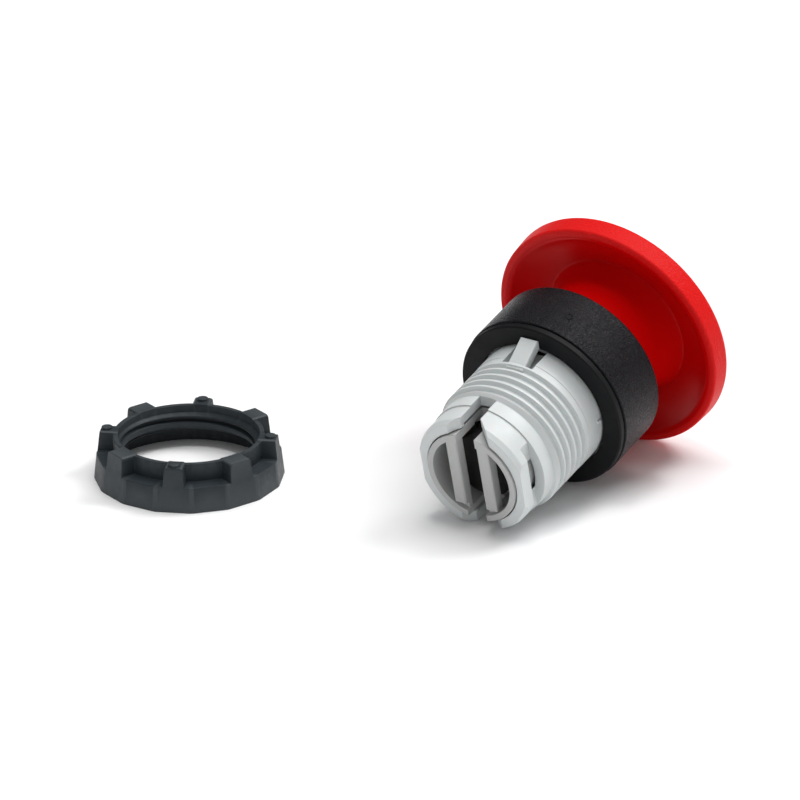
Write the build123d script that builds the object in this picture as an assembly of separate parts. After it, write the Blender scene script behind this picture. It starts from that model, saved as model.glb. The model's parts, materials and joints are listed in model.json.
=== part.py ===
"""Twist-release emergency stop button for a 22 mm panel hole, with its mounting nut beside it.

The button lies on its side on a flat surface: it touches at the rear edge of the mushroom cap and
at the tips of the barrel's prongs, and the loose mounting nut lies flat next to it, lugs up.
Frame: +Z up, +X from the button to the nut, the cap faces -Y. Origin under the middle of the box.

The button's own pieces are drawn upright in an actuator frame: its axis is Z, s = 0 is the plane
where the gasket meets the panel, s grows towards the cap, and +Y is the side of the locating key.
"""
from build123d import *
import os
from math import atan, cos, degrees, radians, sin, sqrt

# Panel interface
NECK_R = 11.0               # barrel where it passes the 22.3 mm panel hole
KEY_W = 3.1                 # locating key, for the 3.2 mm notch of the panel hole
KEY_TOP_R = 12.9            # highest point of the key
THREAD_R = 10.95            # crest of the barrel thread
THREAD_ROOT_R = 10.3
THREAD_PITCH = 1.6
COLLAR_R = 10.2             # smooth barrel behind the thread
RIM_R = 10.0                # band at the tips of the barrel's two prongs
RIM_FLAT_X = 9.15           # flats on the outside of that band

# Heights along the actuator axis
GASKET_T = 1.26             # gasket thickness, and the rear face of the bezel
BEZEL_TOP = 11.3
THREAD_START = -3.4
THREAD_END = -12.9
SLOT_ROOT = -12.85          # end of the slot that parts the two prongs
GROOVE_TOP = -15.4
GROOVE_BOTTOM = -17.6
BARREL_END = -20.0
CAP_RIM = 19.75             # rear edge of the mushroom cap
CAP_SHOULDER = 23.28        # front edge of the cap's side band
CAP_TOP = 28.3

# Radii and widths
BEZEL_R = 14.72
GASKET_R = 14.5
BORE_R = 8.5
LIP_BORE_R = 8.1            # inward lip at the tips of the prongs
HUB_R = 10.7
HUB_BORE_R = 9.2
CAP_RIM_R = 19.75
CAP_R = 19.98
PRONG_SLOT_W = 3.1
STEM_R = 3.4
RUNNING_FIT = 0.05          # radial clearance of the pieces that slide in each other
LOOSE_FIT = 0.3             # radial clearance of the pieces that only pass each other

# Motion
PRESS_TRAVEL = 4.5
PIN_TRAVEL = 0.7            # how far the cam drives each latch pin outwards over the press travel

# Latch
PIN_S = -7.5                # height of the two latch pins
PIN_R = 0.9
PIN_TIP_X = 4.5
PIN_LENGTH = 2.2
CAM_R = 4.2                 # cam radius at the latch pins while the button is released

# Mounting nut
NUT_OFFSET = (49.0, 25.8)   # nut axis from the point under the panel plane's centre
NUT_LUGS = 8
NUT_TURN = 26.2             # direction of the first lug, in degrees from +X
NUT_H = 7.0
NUT_LEDGE = 4.05
NUT_BASE_R = 14.75          # half the width across the skirt's flats at its foot
NUT_LEDGE_R = 14.3
NUT_WALL_R = 11.9
NUT_THREAD_MINOR_R = 10.45
NUT_THREAD_MAJOR_R = 11.05
NUT_LEAD_IN = 5.3           # height of the lowest edge of the bore's countersink
NUT_MOUTH_R = 11.15         # bore above the countersink
NUT_CAVITY_R = 13.6         # hollow underside inside the skirt
NUT_CAVITY_TOP = 2.9
NUT_LEAD_OUT = 3.5          # height of the bore's lower edge

# How the button lies: rolled onto the cap's rear edge and the barrel's tips
TIP_R = 9.8
TIP_S = -19.0
TILT = atan((CAP_RIM_R - TIP_R) / (CAP_RIM - TIP_S))
PANEL_HEIGHT = CAP_RIM_R * cos(TILT) - CAP_RIM * sin(TILT)


def outline(*pieces):
    """A face in the XZ plane, bounded by lines and arcs given in order."""
    return make_face(Curve() + list(pieces))


def path(*points):
    """Straight outline runs through (radius, height) points."""
    return Polyline(*[(r, 0, s) for r, s in points])


def turned(*points):
    """A solid of revolution about the actuator axis from (radius, height) corner points."""
    return revolve(make_face(path(*points, points[0])), Axis.Z)


def tube(outer_r, inner_r, bottom, top):
    """A plain ring between two heights."""
    return turned((inner_r, bottom), (outer_r, bottom), (outer_r, top), (inner_r, top))


def rod(radius, bottom, top):
    """A plain round bar between two heights."""
    return Pos(0, 0, bottom) * Cylinder(radius, top - bottom, align=(Align.CENTER, Align.CENTER, Align.MIN))


def block(x0, x1, y0, y1, z0, z1):
    """A box between two corners."""
    return Pos((x0 + x1) / 2, (y0 + y1) / 2, (z0 + z1) / 2) * Box(x1 - x0, y1 - y0, z1 - z0)


def circles_at(solid, radius, height):
    """The circular edges of a turned solid that have this radius and height."""
    return [e for e in solid.edges().filter_by(GeomType.CIRCLE)
            if abs(e.radius - radius) < 1e-3 and abs(e.arc_center.Z - height) < 1e-3]


def softened(solid, radius, *rims):
    """Rounds the circular edges given as (radius, height)."""
    for rim_r, rim_s in rims:
        solid = fillet(circles_at(solid, rim_r, rim_s), radius)
    return solid


def helix_sweep(profile_points, radius, pitch, bottom, top):
    """Sweeps a closed (radius, height) profile, centred on height 0, up a helix about the axis."""
    coil = Pos(0, 0, bottom) * Helix(pitch=pitch, height=top - bottom, radius=radius)
    start = Plane(origin=coil @ 0, x_dir=(1, 0, 0), z_dir=coil % 0)
    corners = [(r - radius, h) for r, h in profile_points]
    profile = start * make_face(Polyline(*corners, close=True))
    return sweep(profile, path=coil, is_frenet=True)


def thread_groove(crest_r, root_r, mouth, floor, bottom, top):
    """The helical space between the ridges of a thread, as a solid to cut away.

    mouth and floor are its half widths at the crests and at the roots, as shares of the pitch.
    """
    wide = mouth * THREAD_PITCH
    narrow = floor * THREAD_PITCH
    over = 0.3 if crest_r > root_r else -0.3
    flare = wide + (wide - narrow) * over / (crest_r - root_r)
    profile = [(root_r, -narrow), (root_r, narrow), (crest_r + over, flare), (crest_r + over, -flare)]
    return helix_sweep(profile, (crest_r + root_r) / 2, THREAD_PITCH, bottom, top)


def coil_spring(mean_r, wire_r, bottom, top, turns):
    """A round-wire compression spring between two seats."""
    low = bottom + wire_r
    high = top - wire_r
    coil = Pos(0, 0, low) * Helix(pitch=(high - low) / turns, height=high - low, radius=mean_r)
    start = Plane(origin=coil @ 0, x_dir=(1, 0, 0), z_dir=coil % 0)
    return sweep(start * Circle(wire_r), path=coil, is_frenet=True)


# ---------------------------------------------------------------- housing

FLANGE_R = 13.0
FLANGE_TOP = 2.7
LIP_BOTTOM = 10.2
LIP_R = 11.3
BEZEL_BORE_R = 12.0
WEB_TOP = 0.8
WEB_BOTTOM = -1.5
BUSH_R = 4.6
GATE_ANGLE = 15.4           # of the moulding gate's round mark, from the side of the key
GATE_S = 5.7
GATE_R = 0.7


def bezel_ring():
    ring = turned((FLANGE_R, GASKET_T), (BEZEL_R, GASKET_T), (BEZEL_R, BEZEL_TOP), (LIP_R, BEZEL_TOP),
                  (LIP_R, LIP_BOTTOM), (BEZEL_BORE_R, LIP_BOTTOM), (BEZEL_BORE_R, FLANGE_TOP),
                  (FLANGE_R, FLANGE_TOP))
    ring = softened(ring, 0.45, (BEZEL_R, BEZEL_TOP))
    ring = softened(ring, 0.2, (BEZEL_R, GASKET_T), (LIP_R, BEZEL_TOP))
    mark = Cylinder(GATE_R, 0.8) - Pos(0, 0, 0.4) * Cylinder(GATE_R - 0.3, 0.3)
    return ring + Rot(0, 0, 90 + GATE_ANGLE) * Pos(BEZEL_R - 0.27, 0, GATE_S) * Rot(0, 90, 0) * mark


def panel_gasket():
    ring = tube(GASKET_R, NECK_R + LOOSE_FIT, 0, GASKET_T)
    return chamfer(circles_at(ring, GASKET_R, 0) + circles_at(ring, GASKET_R, GASKET_T), 0.2)


def locating_key():
    """The tapered key that rises from the neck and drops into the panel notch."""
    side = Polyline((0, 9.2, -5.2), (0, 10.6, -5.2), (0, NECK_R - 0.1, -4.4), (0, KEY_TOP_R, -0.35),
                    (0, KEY_TOP_R - 0.25, -0.1), (0, 11.35, -0.1), (0, 9.2, -4.4), close=True)
    key = extrude(make_face(side), amount=KEY_W / 2, dir=(1, 0, 0), both=True)
    return fillet(key.edges().filter_by(lambda e: e.center().Y > 11.0 and abs(e.center().X) > 1
                                        and -4 < e.center().Z < -0.5 and e.length > 2), 0.25)


def threaded_barrel():
    body = turned((BUSH_R, WEB_BOTTOM), (BORE_R, WEB_BOTTOM), (BORE_R, LIP_TOP), (LIP_BORE_R, LIP_TOP),
                  (LIP_BORE_R, BARREL_END), (9.6, BARREL_END),
                  (RIM_R, BARREL_END + 0.9), (RIM_R, GROOVE_TOP), (COLLAR_R, GROOVE_TOP),
                  (COLLAR_R, THREAD_END), (THREAD_R, THREAD_END + 0.75), (THREAD_R, THREAD_START),
                  (NECK_R, THREAD_START), (NECK_R, GASKET_T), (FLANGE_R, GASKET_T), (FLANGE_R, FLANGE_TOP),
                  (9.6, FLANGE_TOP), (9.6, WEB_TOP), (BUSH_R, WEB_TOP))
    body -= thread_groove(THREAD_R, THREAD_ROOT_R, 0.37, 0.2, THREAD_END - 0.95, THREAD_START - 1.1)
    body -= tube(RETAINER_R, BORE_R - 1, RETAINER_S, RETAINER_S + RETAINER_T)
    body -= block(-PRONG_SLOT_W / 2, PRONG_SLOT_W / 2, -13, 13, BARREL_END - 1, SLOT_ROOT)
    corner_cut = Polyline((-4.2, 0, BARREL_END - 0.01), (-1.5, 0, -17.5), (1.5, 0, -18.4),
                          (3.2, 0, BARREL_END - 0.01), close=True)
    body -= extrude(make_face(corner_cut), amount=13, dir=(0, 1, 0), both=True)
    for side in (-1, 1):
        x0, x1 = sorted((side * GROOVE_FLOOR_X, side * 13))
        body -= block(x0, x1, -9, 9, GROOVE_BOTTOM, GROOVE_TOP)
        x0, x1 = sorted((side * RIM_FLAT_X, side * 13))
        body -= block(x0, x1, -9, 9, BARREL_END - 1, GROOVE_BOTTOM)
    body -= block(-KEY_NOTCH_HALF_W, KEY_NOTCH_HALF_W, 9.3, 11.4, -4.4, GASKET_T)
    body += locating_key()
    return body


GROOVE_FLOOR_X = 8.1
LIP_TOP = -17.8
KEY_NOTCH_HALF_W = 2.75
RETAINER_S = -10.4
RETAINER_T = 0.8
RETAINER_R = 8.9


def wiper_seal():
    return turned((HUB_R + LOOSE_FIT, 9.7), (BEZEL_BORE_R, 8.4), (BEZEL_BORE_R, LIP_BOTTOM),
                  (HUB_R + LOOSE_FIT, LIP_BOTTOM))


def guide_bush():
    bore = STEM_R + RUNNING_FIT
    return turned((bore, WEB_BOTTOM), (BUSH_R, WEB_BOTTOM), (BUSH_R, WEB_TOP), (7.4, WEB_TOP),
                  (7.4, 1.7), (4.2, 1.7), (4.2, 3.0), (bore, 3.0))


def stem_seal():
    return tube(5.6, STEM_R + LOOSE_FIT, WEB_BOTTOM - 0.4, WEB_BOTTOM)


BLOCK_TOP = -5.4
BLOCK_BOTTOM = RETAINER_S + RETAINER_T
BLOCK_BORE_R = 5.5


def latch_block():
    ring = tube(BORE_R, BLOCK_BORE_R, BLOCK_BOTTOM, BLOCK_TOP)
    return ring - Pos(0, 0, PIN_S) * Rot(0, 90, 0) * Cylinder(PIN_R + RUNNING_FIT, 30)


def retaining_ring():
    ring = tube(RETAINER_R, 6.6, RETAINER_S, RETAINER_S + RETAINER_T)
    return ring - block(-2, 2, -10, 0, RETAINER_S - 1, RETAINER_S + 2)


# ---------------------------------------------------------------- plunger

CAM_BOTTOM = -8.7
CAM_TOP = -2.0
DISC_BOTTOM = -11.8
DISC_TOP = -10.8
FOOT_TOP = DISC_BOTTOM
FOOT_BOTTOM = -12.6
LOOP_R = 7.9
LOOP_GAP = 1.7              # half the opening between the two arcs
LOOP_END = -20.3
BAR_BACK = -18.5
BAR_X = (1.8, 3.85)         # inner and outer side of a bar
BAR_FOOT_Y = -5.6           # lower end of the bars, short of the arcs
BASE_R = 5.4
BASE_END = -16.9
COLLAR_S = 17.0


def cam_radius(s):
    """Radius of the latch cam at a height: it drives the pins by PIN_TRAVEL over the press travel."""
    return CAM_R + (s - PIN_S) * PIN_TRAVEL / PRESS_TRAVEL


def plunger():
    """Two arcs that follow the bore, each with a bar beside the slot, on a shared ring."""
    body = tube(LOOP_R, 5.6, FOOT_BOTTOM, FOOT_TOP)
    arcs = tube(LOOP_R, LOOP_R - 1, LOOP_END, FOOT_BOTTOM)
    body += arcs - block(-LOOP_GAP, LOOP_GAP, -9, 9, LOOP_END, FOOT_BOTTOM)
    for side in (-1, 1):
        x0, x1 = sorted(side * x for x in BAR_X)
        bar = block(x0, x1, BAR_FOOT_Y, 7.5, LOOP_END, BAR_BACK) & rod(LOOP_R - 0.5, LOOP_END, BAR_BACK)
        body += chamfer(bar.edges().group_by(Axis.Z)[0], 0.2)
        body += block(x0, x1, -7, -5, BAR_BACK - 1, BAR_BACK) & rod(LOOP_R - 0.5, BAR_BACK - 1, BAR_BACK)
        x0, x1 = sorted((side * LOOP_GAP, side * 3.2))
        body += block(x0, x1, 6.0, 9, LOOP_END, -15.0) & tube(LOOP_R, 6.4, LOOP_END, -15.0)
    return body


def plunger_base():
    """The dark disc that carries the plunger on the stem, with a pusher behind the two bars."""
    disc = rod(LOOP_R, DISC_BOTTOM, DISC_TOP) + rod(STEM_R + 1.2, DISC_TOP, CAM_BOTTOM)
    disc += rod(BASE_R, BASE_END, DISC_BOTTOM)
    return disc - rod(STEM_R, -11.4, CAM_BOTTOM)


def actuator_stem():
    stem = rod(STEM_R, -11.4, 22.9)
    stem -= tube(STEM_R + 1, STEM_R - 0.5, CLIP_S, CLIP_S + CLIP_T)
    stem -= cam_pin_hole()
    return chamfer(circles_at(stem, STEM_R, 22.9), 0.3)


def cam_pin_hole():
    return Pos(0, 0, -4.6) * Rot(90, 0, 0) * Cylinder(0.8, 20)


def latch_cam():
    cone = turned((STEM_R, CAM_BOTTOM), (cam_radius(CAM_BOTTOM), CAM_BOTTOM), (cam_radius(CAM_TOP), CAM_TOP),
                  (STEM_R, CAM_TOP))
    return cone - cam_pin_hole()


def cam_pin():
    return Pos(0, 0, -4.6) * Rot(90, 0, 0) * Cylinder(0.8, 2 * cam_radius(-4.6) - 0.6)


def spring_collar():
    return turned((STEM_R, COLLAR_S), (7.4, COLLAR_S), (7.4, COLLAR_S + 0.8), (STEM_R, COLLAR_S + 0.8))


def return_spring():
    return coil_spring(6.4, 0.45, 1.7, COLLAR_S, 6.0)


CLIP_S = 21.7
CLIP_T = 0.7


def stem_clip():
    ring = tube(5.0, STEM_R - 0.5, CLIP_S, CLIP_S + CLIP_T)
    return ring - block(-1.6, 1.6, -6, 0, CLIP_S - 1, CLIP_S + 2)


# ---------------------------------------------------------------- cap

HUB_BOTTOM = 7.5
CEILING = 18.0
POCKET_FLOOR = 21.5
POCKET_R = 8.6
FACE_R = 18.4
FACE_T = 1.8
DOME_H = CAP_TOP - CAP_SHOULDER
DOME_R = (CAP_R ** 2 + DOME_H ** 2) / (2 * DOME_H)
BEARING_R = 5.5


def dome_height(r, thickness=0.0):
    """Height of the domed front, or of the parallel surface below it, at a distance from the axis."""
    return CAP_TOP - DOME_R + sqrt((DOME_R - thickness) ** 2 - r ** 2)


def dome_arc(r0, r1, thickness=0.0):
    middle = (r0 + r1) / 2
    points = [(r, 0, dome_height(r, thickness)) for r in (r0, middle, r1)]
    return ThreePointArc(*points)


def mushroom_cap():
    flare = ThreePointArc((HUB_R, 0, 16.2), (11.0, 0, 20.3), (12.2, 0, 22.9))
    dish = ThreePointArc((12.2, 0, 22.9), (15.2, 0, 21.85), (17.8, 0, 20.05))
    rim = ThreePointArc((17.8, 0, 20.05), (18.15, 0, 19.85), (18.6, 0, CAP_RIM))
    band = path((18.6, CAP_RIM), (CAP_RIM_R, CAP_RIM), (CAP_R, CAP_SHOULDER))
    front = dome_arc(CAP_R, FACE_R)
    seat = dome_arc(FACE_R, POCKET_R, FACE_T)
    wall = path((FACE_R, dome_height(FACE_R)), (FACE_R, dome_height(FACE_R, FACE_T)))
    inner = path((POCKET_R, dome_height(POCKET_R, FACE_T)), (POCKET_R, POCKET_FLOOR),
                 (BEARING_R, POCKET_FLOOR), (BEARING_R, CEILING), (HUB_BORE_R, CEILING),
                 (HUB_BORE_R, HUB_BOTTOM), (HUB_R, HUB_BOTTOM), (HUB_R, 16.2))
    cap = revolve(outline(flare, dish, rim, band, front, wall, seat, inner), Axis.Z)
    cap = softened(cap, 0.35, (CAP_RIM_R, CAP_RIM))
    return softened(cap, 0.8, (CAP_R, CAP_SHOULDER))


def arrow_prisms():
    """Three curved arrows that show which way the cap is twisted to release it."""
    shapes = []
    for k in range(3):
        shaft = rod(13.3, 20, 30) - rod(11.7, 19, 31)
        wedge = Polyline((0, 0), (30 * cos(radians(12)), 30 * sin(radians(12))), (30, 30),
                         (30 * cos(radians(72)), 30 * sin(radians(72))), close=True)
        shaft &= Pos(0, 0, 20) * extrude(make_face(wedge), amount=10)
        head = Polyline((10.4, 0.0), (14.6, 0.0), (12.0, -4.2), close=True)
        head = Pos(0, 0, 20) * Rot(0, 0, 13) * extrude(make_face(head), amount=10)
        shapes.append(Rot(0, 0, 120 * k) * (shaft + head))
    return shapes[0] + shapes[1] + shapes[2]


def cap_skin(depth):
    """The outermost layer of the cap's front, this deep."""
    edge_outer = dome_height(FACE_R)
    edge_inner = dome_height(FACE_R, depth)
    return revolve(outline(dome_arc(0, FACE_R), path((FACE_R, edge_outer), (FACE_R, edge_inner)),
                           dome_arc(FACE_R, 0, depth), path((0, CAP_TOP - depth), (0, CAP_TOP))), Axis.Z)


def release_arrows():
    return cap_skin(0.4) & arrow_prisms()


def cap_face():
    return cap_skin(FACE_T) - (cap_skin(0.4) & arrow_prisms())


def stem_bearing():
    return tube(BEARING_R, STEM_R + RUNNING_FIT, CEILING, POCKET_FLOOR)


def twist_spring():
    return coil_spring(6.9, 0.35, POCKET_FLOOR, 24.6, 3.5)


# ---------------------------------------------------------------- latch pins

def latch_pin(side):
    pin = Pos(side * (PIN_TIP_X + PIN_LENGTH / 2), 0, PIN_S) * Rot(0, 90, 0) * Cylinder(PIN_R, PIN_LENGTH)
    tip = pin.faces().sort_by(Axis.X)[0 if side > 0 else -1]
    return fillet(tip.edges(), 0.4)


def latch_spring(side):
    back = PIN_TIP_X + PIN_LENGTH
    spring = coil_spring(0.55, 0.16, 0, BORE_R - back, 3.0)
    return Pos(side * back, 0, PIN_S) * Rot(0, side * 90, 0) * spring


# ---------------------------------------------------------------- nut

def nut_width(z):
    """Half the width across the nut's flats at a height: the whole outside leans in evenly."""
    return NUT_BASE_R - (NUT_BASE_R - NUT_LEDGE_R) * z / NUT_LEDGE


def nut_prism(bottom, top):
    """The nut's sixteen-sided outside between two heights, its corners rounded."""
    sections = [Pos(0, 0, z) * Rot(0, 0, 180 / NUT_LUGS / 2) *
                RegularPolygon(nut_width(z), 2 * NUT_LUGS, major_radius=False) for z in (bottom, top)]
    prism = loft(sections)
    return fillet(prism.edges().filter_by(lambda e: abs(e.tangent_at(0.5).Z) > 0.5), NUT_CORNER_R)


def nut_lug(foot, head):
    """One lug along +X, with its half widths, before it is trimmed to the nut's outside."""
    top = NUT_H + 0.15
    front = make_face(Polyline((0, -foot, NUT_LEDGE), (0, foot, NUT_LEDGE), (0, head, top),
                               (0, -head, top), close=True))
    lug = extrude(front, amount=16, dir=(1, 0, 0))
    crests = lug.edges().filter_by(Axis.X).group_by(Axis.Z)[-1]
    return fillet(crests, 0.5)


def mounting_nut():
    """Hollow sixteen-sided skirt with eight lugs on top, standing on Z = 0 about its own axis."""
    body = nut_prism(0, NUT_LEDGE) + rod(NUT_WALL_R, 0, NUT_H)
    crown = nut_prism(NUT_LEDGE, NUT_H + 0.15)
    plain_lug = nut_lug(2.05, 1.95) & crown
    pip_lug = nut_lug(1.7, 1.45) & crown
    pip_lug += Pos(13.0, 0, NUT_H + 0.15) * Cylinder(0.85, 0.7)
    for k in range(NUT_LUGS):
        body += Rot(0, 0, 360 / NUT_LUGS * k) * (plain_lug if k % 2 else pip_lug)
    body -= rod(NUT_THREAD_MINOR_R, -1, NUT_H + 1)
    body -= turned((0, -1), (NUT_CAVITY_R, -1), (NUT_CAVITY_R, NUT_CAVITY_TOP), (NUT_MOUTH_R, NUT_CAVITY_TOP),
                   (NUT_THREAD_MINOR_R, NUT_LEAD_OUT), (0, NUT_LEAD_OUT))
    body -= turned((0, NUT_LEAD_IN), (NUT_THREAD_MINOR_R, NUT_LEAD_IN), (NUT_MOUTH_R, NUT_LEAD_IN + 0.6),
                   (NUT_MOUTH_R, NUT_H + 1), (0, NUT_H + 1))
    groove = thread_groove(NUT_THREAD_MINOR_R, NUT_THREAD_MAJOR_R, 0.27, 0.13, 2.5, NUT_H - 0.8)
    return body - Rot(0, 0, NUT_THREAD_TURN) * groove


NUT_CORNER_R = 2.5
NUT_THREAD_TURN = 120       # where the nut's thread starts, in degrees


# ---------------------------------------------------------------- assembly

BUTTON = {
    "bezel_ring": bezel_ring, "panel_gasket": panel_gasket, "threaded_barrel": threaded_barrel,
    "wiper_seal": wiper_seal, "guide_bush": guide_bush, "stem_seal": stem_seal,
    "latch_block": latch_block, "retaining_ring": retaining_ring, "plunger": plunger,
    "plunger_base": plunger_base,
    "actuator_stem": actuator_stem, "latch_cam": latch_cam, "cam_pin": cam_pin,
    "spring_collar": spring_collar, "return_spring": return_spring, "stem_clip": stem_clip,
    "mushroom_cap": mushroom_cap, "cap_face": cap_face, "release_arrows": release_arrows,
    "stem_bearing": stem_bearing, "twist_spring": twist_spring,
    "latch_pin_left": lambda: latch_pin(1), "latch_pin_right": lambda: latch_pin(-1),
    "latch_spring_left": lambda: latch_spring(1), "latch_spring_right": lambda: latch_spring(-1),
}


def placed_parts():
    """Every node laid down in the part's frame, and the shift that centres the origin."""
    lay_down = Pos(0, 0, PANEL_HEIGHT) * Rot(90 - degrees(TILT), 0, 0)
    parts = {name: lay_down * make() for name, make in BUTTON.items()}
    parts["mounting_nut"] = Pos(*NUT_OFFSET, 0) * Rot(0, 0, NUT_TURN) * mounting_nut()
    box = Compound(children=[Compound(p.wrapped) for p in parts.values()]).bounding_box()
    shift = Vector(-(box.min.X + box.max.X) / 2, -(box.min.Y + box.max.Y) / 2, -box.min.Z)
    return {name: Pos(shift) * part for name, part in parts.items()}, shift


def main():
    os.makedirs("parts", exist_ok=True)
    parts, shift = placed_parts()
    for name, part in parts.items():
        export_step(part, f"parts/{name}.step")
    print("tilt", round(degrees(TILT), 3), "panel point", tuple(shift + Vector(0, 0, PANEL_HEIGHT)))


if __name__ == "__main__":
    main()
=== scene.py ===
"""Looks of the emergency stop button: materials, springs, small moulding details, studio and camera."""
import json
import math

import bmesh
import bpy
from mathutils import Matrix, Vector


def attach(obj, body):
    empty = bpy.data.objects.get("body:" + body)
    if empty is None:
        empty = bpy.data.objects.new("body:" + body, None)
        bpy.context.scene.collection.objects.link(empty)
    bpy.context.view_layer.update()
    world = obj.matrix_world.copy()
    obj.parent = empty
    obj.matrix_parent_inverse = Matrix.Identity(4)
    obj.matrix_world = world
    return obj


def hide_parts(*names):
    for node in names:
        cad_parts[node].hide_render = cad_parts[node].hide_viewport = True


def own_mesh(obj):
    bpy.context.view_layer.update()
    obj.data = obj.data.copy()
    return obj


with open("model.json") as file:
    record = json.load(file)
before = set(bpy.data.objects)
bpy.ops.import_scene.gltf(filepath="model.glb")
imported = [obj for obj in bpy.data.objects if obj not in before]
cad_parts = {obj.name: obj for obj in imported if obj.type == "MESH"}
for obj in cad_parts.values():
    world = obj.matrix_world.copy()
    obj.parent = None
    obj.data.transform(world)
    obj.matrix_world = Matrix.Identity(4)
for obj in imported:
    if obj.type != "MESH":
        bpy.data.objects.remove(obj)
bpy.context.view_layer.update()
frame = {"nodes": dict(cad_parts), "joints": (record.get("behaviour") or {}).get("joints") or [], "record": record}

MM = 0.001

# The button's own axes in the row frame, from its joints
JOINTS = {joint["name"]: joint for joint in frame["joints"]}
PANEL = Vector(JOINTS["twist"]["pos_m"])            # on the axis, where the gasket meets the panel
TO_CAP = -Vector(JOINTS["press"]["axis"]).normalized()
SIDE = Vector((1, 0, 0))
UP = TO_CAP.cross(SIDE).normalized()
ACTUATOR = Matrix((SIDE, UP, TO_CAP)).transposed().to_4x4()
ACTUATOR.translation = PANEL


# ---------------------------------------------------------------- materials

class Surface:
    """A Principled material whose bump, colour and roughness come from node chains."""

    def __init__(self, name, color, roughness, **sockets):
        self.material = bpy.data.materials.new(name)
        self.material.use_nodes = True
        self.nodes = self.material.node_tree.nodes
        self.links = self.material.node_tree.links
        self.shader = self.nodes["Principled BSDF"]
        self.shader.inputs["Base Color"].default_value = (*color, 1)
        self.shader.inputs["Roughness"].default_value = roughness
        for socket, value in sockets.items():
            self.shader.inputs[socket.replace("_", " ")].default_value = value
        self.color = color
        self.coordinates = self.add("ShaderNodeTexCoord").outputs["Object"]
        self.normal = None

    def add(self, kind, values=None, **settings):
        node = self.nodes.new(kind)
        for key, value in settings.items():
            setattr(node, key, value)
        for key, value in (values or {}).items():
            if isinstance(value, bpy.types.NodeSocket):
                self.links.new(value, node.inputs[key])
            else:
                node.inputs[key].default_value = value
        return node

    def math(self, operation, a, b=0.0):
        return self.add("ShaderNodeMath", {0: a, 1: b}, operation=operation).outputs[0]

    def noise(self, size, detail=3.0, roughness=0.55):
        """Noise whose features are about this many metres across."""
        values = {"Vector": self.coordinates, "Scale": 1 / size, "Detail": detail, "Roughness": roughness}
        return self.add("ShaderNodeTexNoise", values).outputs["Fac"]

    def spread(self, value, low, high, start=0.3, end=0.7):
        """Maps a texture value to a range."""
        values = {"Value": value, "From Min": start, "From Max": end, "To Min": low, "To Max": high}
        return self.add("ShaderNodeMapRange", values).outputs["Result"]

    def bump(self, height, depth):
        """Adds a height pattern, this many metres deep, to the surface."""
        values = {"Height": height, "Distance": depth}
        if self.normal:
            values["Normal"] = self.normal
        self.normal = self.add("ShaderNodeBump", values).outputs["Normal"]
        self.links.new(self.normal, self.shader.inputs["Normal"])

    def round_edges(self, radius):
        """Shades sharp edges as if they had this radius."""
        self.normal = self.add("ShaderNodeBevel", {"Radius": radius}, samples=8).outputs["Normal"]

    def tint(self, factor, color):
        """Mixes another colour in by a factor."""
        mix = self.add("ShaderNodeMix", {"Factor": factor}, data_type="RGBA")
        present, added, result = mix.inputs[6], mix.inputs[7], mix.outputs[2]    # its colour sockets
        socket = self.shader.inputs["Base Color"]
        if socket.links:
            self.links.new(socket.links[0].from_socket, present)
        else:
            present.default_value = (*self.color, 1)
        added.default_value = (*color, 1)
        self.links.new(result, socket)

    def rough(self, value):
        self.links.new(value, self.shader.inputs["Roughness"])

    def axis_distance(self):
        """Distance from the button's axis, in metres."""
        along = self.add("ShaderNodeVectorMath", {0: self.coordinates, 1: PANEL}, operation="SUBTRACT")
        side = self.add("ShaderNodeVectorMath", {0: along.outputs[0], 1: TO_CAP}, operation="CROSS_PRODUCT")
        return self.add("ShaderNodeVectorMath", {0: side.outputs[0]}, operation="LENGTH").outputs["Value"]

    def painted_edge_sheen(self, color, amount=0.5):
        """Lightens convex edges a little: a painted highlight where the edges catch the light."""
        edge = self.add("ShaderNodeNewGeometry").outputs["Pointiness"]
        self.tint(self.math("MULTIPLY", self.spread(edge, 0, 1, 0.52, 0.62), amount), color)


def red_plastic(name, textured_from):
    """Signal red: satin underneath, finely textured on the band beyond textured_from metres."""
    red = Surface(name, (0.57, 0.0008, 0.0012), 0.3, Specular_IOR_Level=0.08)
    red.round_edges(0.5 * MM)
    band = red.spread(red.axis_distance(), 0, 1, textured_from - 0.2 * MM, textured_from + 0.2 * MM)
    grain = red.math("MULTIPLY", red.noise(0.30 * MM, 1), band)
    red.bump(grain, 0.12 * MM)
    red.tint(red.spread(red.noise(9 * MM, 2), 0, 0.2), (0.62, 0.0014, 0.0020))
    red.tint(red.math("MULTIPLY", band, 0.6), (0.76, 0.014, 0.013))
    base = red.spread(red.noise(4 * MM, 1), 0.24, 0.27)
    red.rough(red.math("ADD", base, red.math("MULTIPLY", band, 0.16)))
    return red.material


def sand_textured_black():
    black = Surface("bezel_sand_black", (0.0042, 0.0049, 0.0066), 0.4, Specular_IOR_Level=0.15)
    black.round_edges(0.2 * MM)
    black.bump(black.noise(0.20 * MM, 0), 0.075 * MM)
    black.bump(black.noise(0.15 * MM, 0), 0.09 * MM)
    black.rough(black.spread(black.noise(0.20 * MM, 0), 0.22, 0.42, 0.38, 0.62))
    black.tint(black.spread(black.noise(7 * MM, 3), 0, 0.5), (0.0072, 0.0078, 0.0100))
    # painted highlight: the bezel's convex edges are lightened in colour
    black.painted_edge_sheen((0.02, 0.02, 0.024), 0.5)
    return black.material


def rubber(name, color=(0.007, 0.0072, 0.008)):
    soft = Surface(name, color, 0.5, Specular_IOR_Level=0.12)
    soft.round_edges(0.15 * MM)
    soft.bump(soft.noise(0.5 * MM, 4), 0.008 * MM)
    soft.rough(soft.spread(soft.noise(3 * MM), 0.42, 0.58))
    soft.tint(soft.spread(soft.noise(6 * MM, 4), 0, 0.6), tuple(1.5 * c for c in color))
    return soft.material


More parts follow.
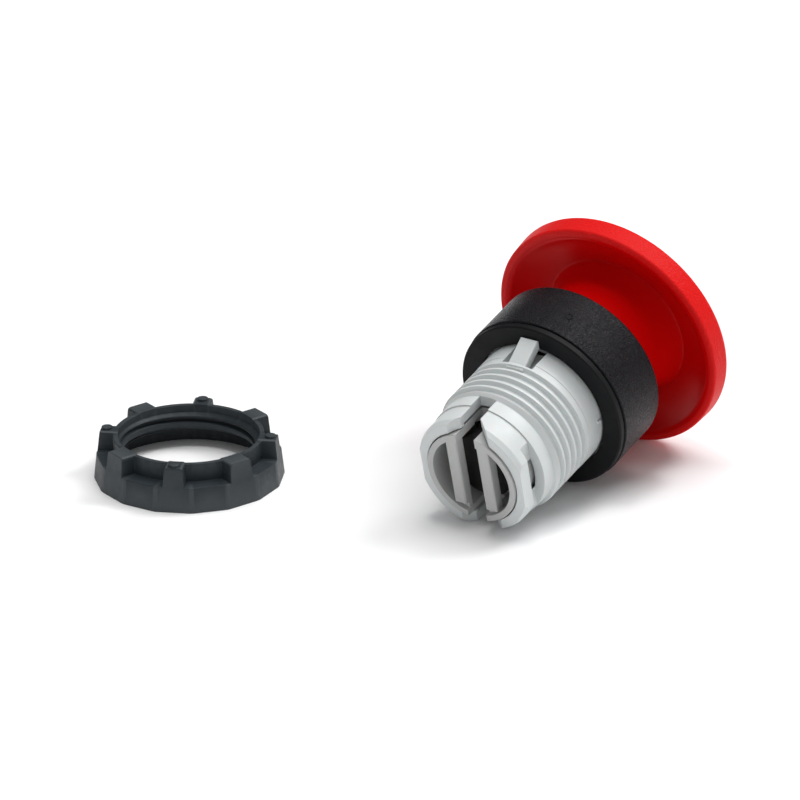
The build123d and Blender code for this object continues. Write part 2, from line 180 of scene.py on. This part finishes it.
def grey_plastic(name, color, roughness=0.42):
    """Light grey moulding with faint flow marks."""
    grey = Surface(name, color, roughness, Subsurface_Weight=0.1, Subsurface_Scale=0.5 * MM)
    grey.round_edges(0.18 * MM)
    grey.bump(grey.noise(0.3 * MM, 3), 0.006 * MM)
    grey.bump(grey.noise(3 * MM, 2), 0.03 * MM)
    grey.tint(grey.spread(grey.noise(4 * MM, 4), 0, 0.5), tuple(0.93 * c for c in color))
    # painted highlight: convex edges are lightened in colour a little
    grey.painted_edge_sheen(tuple(min(1, 1.12 * c) for c in color), 0.5)
    grey.rough(grey.spread(grey.noise(1.5 * MM), roughness - 0.05, roughness + 0.07))
    return grey.material


def dark_plastic(name, color, edge_sheen_color):
    """Glass-filled dark plastic with a dry, slightly mottled surface."""
    grey = Surface(name, color, 0.5, Specular_IOR_Level=0.3)
    grey.round_edges(0.3 * MM)
    grey.bump(grey.noise(0.16 * MM, 3), 0.010 * MM)
    grey.bump(grey.noise(1.4 * MM, 3), 0.025 * MM)
    grey.tint(grey.spread(grey.noise(2.5 * MM, 5, 0.65), 0, 0.6), tuple(1.3 * c for c in color))
    # painted highlight: convex edges are lightened towards the given colour
    grey.painted_edge_sheen(edge_sheen_color, 0.55)
    grey.rough(grey.spread(grey.noise(0.8 * MM), 0.42, 0.58))
    return grey.material


def steel(name, color, roughness):
    metal = Surface(name, color, roughness, Metallic=1.0)
    metal.bump(metal.noise(0.12 * MM, 2), 0.003 * MM)
    metal.rough(metal.spread(metal.noise(0.6 * MM), roughness - 0.06, roughness + 0.1))
    metal.tint(metal.spread(metal.noise(2 * MM, 4), 0, 0.5), tuple(0.85 * c for c in color))
    return metal.material


def acetal():
    white = Surface("acetal_white", (0.72, 0.71, 0.67), 0.35, Subsurface_Weight=0.1,
                    Subsurface_Scale=0.5 * MM)
    white.bump(white.noise(0.4 * MM), 0.004 * MM)
    white.rough(white.spread(white.noise(1 * MM), 0.3, 0.42))
    white.tint(white.spread(white.noise(3 * MM), 0, 0.5), (0.66, 0.65, 0.61))
    return white.material


MATERIALS = {
    "cap_red": red_plastic("cap_red", 18.7 * MM),
    "cap_face_red": red_plastic("cap_face_red", 40 * MM),
    "bezel_black": sand_textured_black(),
    "gasket_rubber": rubber("gasket_rubber"),
    "seal_rubber": rubber("seal_rubber", (0.02, 0.02, 0.02)),
    "barrel_grey": grey_plastic("barrel_light_grey", (0.605, 0.635, 0.635)),
    "plunger_grey": grey_plastic("plunger_light_grey", (0.45, 0.455, 0.45), 0.48),
    # painted shade: base_black is near-black so that the deep gap between the plunger's loops reads as shade
    # the last colour given to each dark plastic below is a painted highlight on its convex edges
    "base_black": dark_plastic("base_black", (0.010, 0.0095, 0.009), (0.02, 0.02, 0.02)),
    "nut_grey": dark_plastic("nut_dark_grey", (0.020, 0.027, 0.032), (0.075, 0.085, 0.09)),
    "steel": steel("turned_steel", (0.55, 0.55, 0.56), 0.25),
    "spring_steel": steel("spring_steel", (0.42, 0.42, 0.41), 0.3),
    "acetal_white": acetal(),
    "arrow_white": grey_plastic("arrow_white", (0.78, 0.78, 0.77), 0.4),
}
SLOT_OF = {part["node"]: part["material_slot"] for part in frame["record"]["subparts"]}


def dress(obj, slot):
    """Gives a piece the material of a record slot."""
    obj.data.materials.clear()
    obj.data.materials.append(MATERIALS[slot])


for node_name, node in frame["nodes"].items():
    dress(node, SLOT_OF[node_name])


# ---------------------------------------------------------------- springs

def wire_coil(name, slot, mean_r, wire_r, low, high, turns, place):
    """A round-wire spring whose end turns close up against their seats."""
    steps = int(turns * 32)
    curve = bpy.data.curves.new(name, "CURVE")
    curve.dimensions = "3D"
    curve.bevel_depth = wire_r
    curve.bevel_resolution = 4
    curve.use_fill_caps = True
    spline = curve.splines.new("POLY")
    spline.points.add(steps)
    for k in range(steps + 1):
        t = k / steps
        closed = t - 0.35 * math.sin(2 * math.pi * t) / (2 * math.pi)
        angle = 2 * math.pi * turns * t
        height = low + wire_r + (high - low - 2 * wire_r) * closed
        spline.points[k].co = (mean_r * math.cos(angle), mean_r * math.sin(angle), height, 1)
    drawn = bpy.data.objects.new(name, curve)
    mesh = bpy.data.meshes.new_from_object(drawn)
    bpy.data.objects.remove(drawn)
    mesh.transform(place)
    for face in mesh.polygons:
        face.use_smooth = True
    coil = bpy.data.objects.new(name, mesh)
    bpy.context.scene.collection.objects.link(coil)
    dress(coil, slot)
    return coil


def along_axis(x, up, s, direction=TO_CAP):
    """A matrix that stands a piece on a point of the button, given in mm, pointing in a direction."""
    turn = direction.to_track_quat("Z", "Y").to_matrix().to_4x4()
    turn.translation = ACTUATOR @ Vector((x * MM, up * MM, s * MM))
    return turn


def button_springs():
    """Round-wire coils in place of the CAD springs."""
    seat, collar, press_travel = 1.7, 17.0, 4.5
    mean_r, wire_r, turns = 6.4 * MM, 0.45 * MM, 6
    spring = wire_coil("return_coil", "spring_steel", mean_r, wire_r, 0, (collar - seat) * MM, turns,
                       along_axis(0, 0, seat))
    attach(spring, "housing")
    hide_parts("return_spring")
    along_axis(0, 0, seat).translation
    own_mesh(spring)

    pocket_floor, height = 21.5, 3.1 * MM
    mean_r, wire_r, turns = 6.9 * MM, 0.35 * MM, 3.5
    spring = wire_coil("twist_coil", "spring_steel", mean_r, wire_r, 0, height, turns,
                       along_axis(0, 0, pocket_floor))
    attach(spring, "cap")
    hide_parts("twist_spring")

    pin_back, bore, latch_s, pin_travel = 6.7, 8.5, -7.5, 0.7
    mean_r, wire_r, turns = 0.55 * MM, 0.16 * MM, 3
    for name, side in (("left", 1), ("right", -1)):
        spring = wire_coil("latch_coil_" + name, "spring_steel", mean_r, wire_r, 0, (bore - pin_back) * MM,
                           turns, along_axis(side * pin_back, 0, latch_s, side * SIDE))
        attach(spring, "housing")
        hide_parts("latch_spring_" + name)
        along_axis(side * bore, 0, latch_s).translation
        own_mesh(spring)


def neck_flash():
    """A small torn flash of plastic that stands on the side of the neck."""
    radius = 0.42 * MM
    width, thickness, length = 0.9, 0.45, 1.25
    flash = bmesh.new()
    bmesh.ops.create_icosphere(flash, subdivisions=3, radius=radius)
    for vertex in flash.verts:
        x, y, z = vertex.co / MM
        ragged = 1 + 0.25 * math.sin(9 * x + 4 * z) * math.cos(7 * y)
        vertex.co = Vector((x * width, y * thickness, z * length)) * ragged * MM
    mesh = bpy.data.meshes.new("neck_flash")
    flash.to_mesh(mesh)
    flash.free()
    mesh.transform(along_axis(-11.05, 0.4, -0.55))
    for face in mesh.polygons:
        face.use_smooth = True
    piece = bpy.data.objects.new("neck_flash", mesh)
    bpy.context.scene.collection.objects.link(piece)
    dress(piece, "barrel_grey")
    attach(piece, "housing")


button_springs()
neck_flash()


# ---------------------------------------------------------------- studio

def floor():
    bpy.ops.mesh.primitive_plane_add(size=6, location=(0, 0, 0))
    sheet = bpy.context.object
    sheet.name = "studio_floor"
    paper = Surface("studio_paper", (0.9, 0.9, 0.905), 0.75, Specular_IOR_Level=0.25)
    paper.rough(paper.spread(paper.noise(4 * MM), 0.7, 0.8))
    sheet.data.materials.append(paper.material)


def softbox(name, place, width, power):
    """A square lamp that looks at the button's middle."""
    light = bpy.data.lights.new(name, "AREA")
    light.shape = "RECTANGLE"
    light.size = width
    light.size_y = width
    light.energy = power
    lamp = bpy.data.objects.new(name, light)
    lamp.location = place
    aim = Vector((PANEL.x, PANEL.y, 10 * MM))
    lamp.rotation_euler = (aim - Vector(place)).to_track_quat("-Z", "Y").to_euler()
    bpy.context.scene.collection.objects.link(lamp)


def overcast(name, towards, strength, width):
    """Even light from a wide patch of ceiling, width degrees across."""
    light = bpy.data.lights.new(name, "SUN")
    light.energy = strength
    light.angle = math.radians(width)
    lamp = bpy.data.objects.new(name, light)
    lamp.rotation_euler = (-Vector(towards)).to_track_quat("-Z", "Y").to_euler()
    bpy.context.scene.collection.objects.link(lamp)


def surroundings(strength, mirrored):
    """A white room that lights evenly but shows darker in glossy surfaces."""
    world = bpy.data.worlds.new("white_room")
    world.use_nodes = True
    nodes, links = world.node_tree.nodes, world.node_tree.links
    background = nodes["Background"]
    background.inputs["Color"].default_value = (1, 1, 1, 1)
    seen = nodes.new("ShaderNodeMapRange")
    seen.inputs["To Min"].default_value = strength
    seen.inputs["To Max"].default_value = mirrored
    links.new(nodes.new("ShaderNodeLightPath").outputs["Is Glossy Ray"], seen.inputs["Value"])
    links.new(seen.outputs["Result"], background.inputs["Strength"])
    bpy.context.scene.world = world


def camera():
    """Looks down at the button from behind and to its left, from nearly a metre away."""
    heading = math.radians(-55.82)
    pitch = math.radians(23.431)
    roll = math.radians(-0.272)
    distance = 0.8882
    target = Vector((PANEL.x + 37.83 * MM, PANEL.y - 16.80 * MM, 0))
    forward = Vector((math.cos(heading) * math.cos(pitch), math.sin(heading) * math.cos(pitch),
                      -math.sin(pitch)))
    right = forward.cross(Vector((0, 0, 1))).normalized()
    above = right.cross(forward)
    rolled_right = right * math.cos(roll) + above * math.sin(roll)
    rolled_above = above * math.cos(roll) - right * math.sin(roll)
    data = bpy.data.cameras.new("camera")
    data.sensor_width = 36
    data.lens = 246.4        # a long lens, in mm
    data.clip_end = 20
    eye = bpy.data.objects.new("camera", data)
    turn = Matrix((rolled_right, rolled_above, -forward)).transposed().to_4x4()
    turn.translation = target - forward * distance
    eye.matrix_world = turn
    bpy.context.scene.collection.objects.link(eye)
    bpy.context.scene.camera = eye


floor()
surroundings(strength=0.42, mirrored=0.14)
overcast("overhead", towards=(-0.05, -0.18, 1.0), strength=1.45, width=44)
softbox("key", (-0.25, -0.37, 0.56), width=0.24, power=1.9)
softbox("zenith", (0.01, 0.09, 0.74), width=0.12, power=0.8)
softbox("side", (-0.45, -0.38, 0.26), width=0.2, power=0.2)
camera()
bpy.context.scene.view_settings.view_transform = "Standard"
